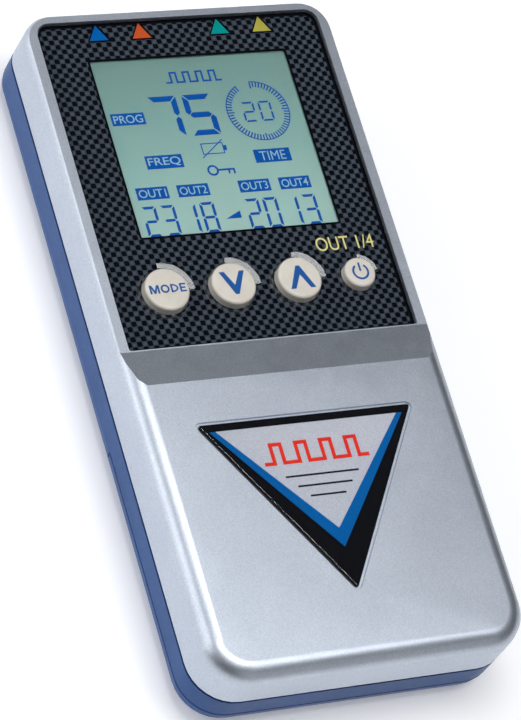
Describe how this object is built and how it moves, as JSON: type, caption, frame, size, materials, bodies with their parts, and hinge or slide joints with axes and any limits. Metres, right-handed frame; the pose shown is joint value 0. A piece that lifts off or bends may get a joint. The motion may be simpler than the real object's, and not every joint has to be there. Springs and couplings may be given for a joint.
{
  "type": "tens unit",
  "caption": "Hand-held nerve and muscle stimulator with a display window, round push buttons, a badge, output sockets in the top end and a sliding battery door.",
  "frame": {"origin": "centre of the footprint on the resting face (the back of the case)", "axes": "+X to the right, +Y along the case towards the output sockets, +Z out of the display face"},
  "size_m": [0.0716, 0.1543, 0.0234],
  "materials": {
    "silver_paint": "silver metallic-flake paint on moulded plastic, satin",
    "blue_plastic": "moulded blue plastic with a fine texture",
    "printed_acrylic": "clear acrylic printed behind with a dark woven check, gloss",
    "badge_resin": "clear domed resin over a printed label, gloss",
    "ivory_plastic": "ivory moulded plastic, satin",
    "black_plastic": "black moulded plastic",
    "white_plastic": "white moulded plastic",
    "lcd_glass": "liquid-crystal glass with polarisers",
    "pink_rubber": "silicone connector strip",
    "circuit_board": "green solder mask over glass-filled laminate",
    "metal_can": "bright metal can",
    "ferrite": "dark sintered ferrite with a taped winding",
    "sleeved_can": "shrink-sleeved aluminium can",
    "cell_jacket": "printed metal-foil jacket, gloss",
    "contact_steel": "nickel-plated spring steel",
    "screw_steel": "zinc-plated steel",
    "red_wire": "red insulated wire",
    "black_wire": "black insulated wire"
  },
  "bodies": {
    "case": {"front_shell": "silver_paint", "back_shell": "blue_plastic", "window_panel": "printed_acrylic", "badge": "badge_resin", "lcd_frame": "white_plastic", "lcd_glass": "lcd_glass", "lcd_backlight": "white_plastic", "zebra_strip": "pink_rubber", "main_board": "circuit_board", "charge_socket": "black_plastic", "microcontroller": "black_plastic", "output_driver": "black_plastic", "crystal": "metal_can", "buzzer": "black_plastic", "boost_inductor": "ferrite", "storage_capacitor": "sleeved_can", "battery_lead_positive": "red_wire", "battery_lead_negative": "black_wire", "contact_positive": "contact_steel", "contact_negative": "contact_steel", "contact_link_bottom": "contact_steel", "contact_link_top_1": "contact_steel", "contact_link_top_2": "contact_steel", "switch_body_mode": "black_plastic", "switch_body_down": "black_plastic", "switch_body_up": "black_plastic", "switch_body_power": "black_plastic", "output_jack_1": "black_plastic", "output_transformer_1": "ferrite", "battery_cell_1": "cell_jacket", "case_screw_1": "screw_steel", "board_screw_1": "screw_steel", "output_jack_2": "black_plastic", "output_transformer_2": "ferrite", "battery_cell_2": "cell_jacket", "case_screw_2": "screw_steel", "board_screw_2": "screw_steel", "output_jack_3": "black_plastic", "output_transformer_3": "ferrite", "battery_cell_3": "cell_jacket", "case_screw_3": "screw_steel", "board_screw_3": "screw_steel", "output_jack_4": "black_plastic", "output_transformer_4": "ferrite", "battery_cell_4": "cell_jacket", "case_screw_4": "screw_steel", "board_screw_4": "screw_steel"},
    "key_mode": {"button_mode": "ivory_plastic", "switch_stem_mode": "white_plastic"},
    "key_down": {"button_down": "ivory_plastic", "switch_stem_down": "white_plastic"},
    "key_up": {"button_up": "ivory_plastic", "switch_stem_up": "white_plastic"},
    "key_power": {"button_power": "ivory_plastic", "switch_stem_power": "white_plastic"},
    "door": {"battery_door": "blue_plastic"}
  },
  "joints": [
    {"name": "press_mode", "type": "slide", "parent": "case", "child": "key_mode", "axis": [0, 0, -1], "range_m": [0, 0.0008], "stiffness_N_per_m": 2000},
    {"name": "press_down", "type": "slide", "parent": "case", "child": "key_down", "axis": [0, 0, -1], "range_m": [0, 0.0008], "stiffness_N_per_m": 2000},
    {"name": "press_up", "type": "slide", "parent": "case", "child": "key_up", "axis": [0, 0, -1], "range_m": [0, 0.0008], "stiffness_N_per_m": 2000},
    {"name": "press_power", "type": "slide", "parent": "case", "child": "key_power", "axis": [0, 0, -1], "range_m": [0, 0.0008], "stiffness_N_per_m": 2000},
    {"name": "door_slide", "type": "slide", "parent": "case", "child": "door", "axis": [0, -1, 0], "range_m": [0, 0.062]}
  ]
}
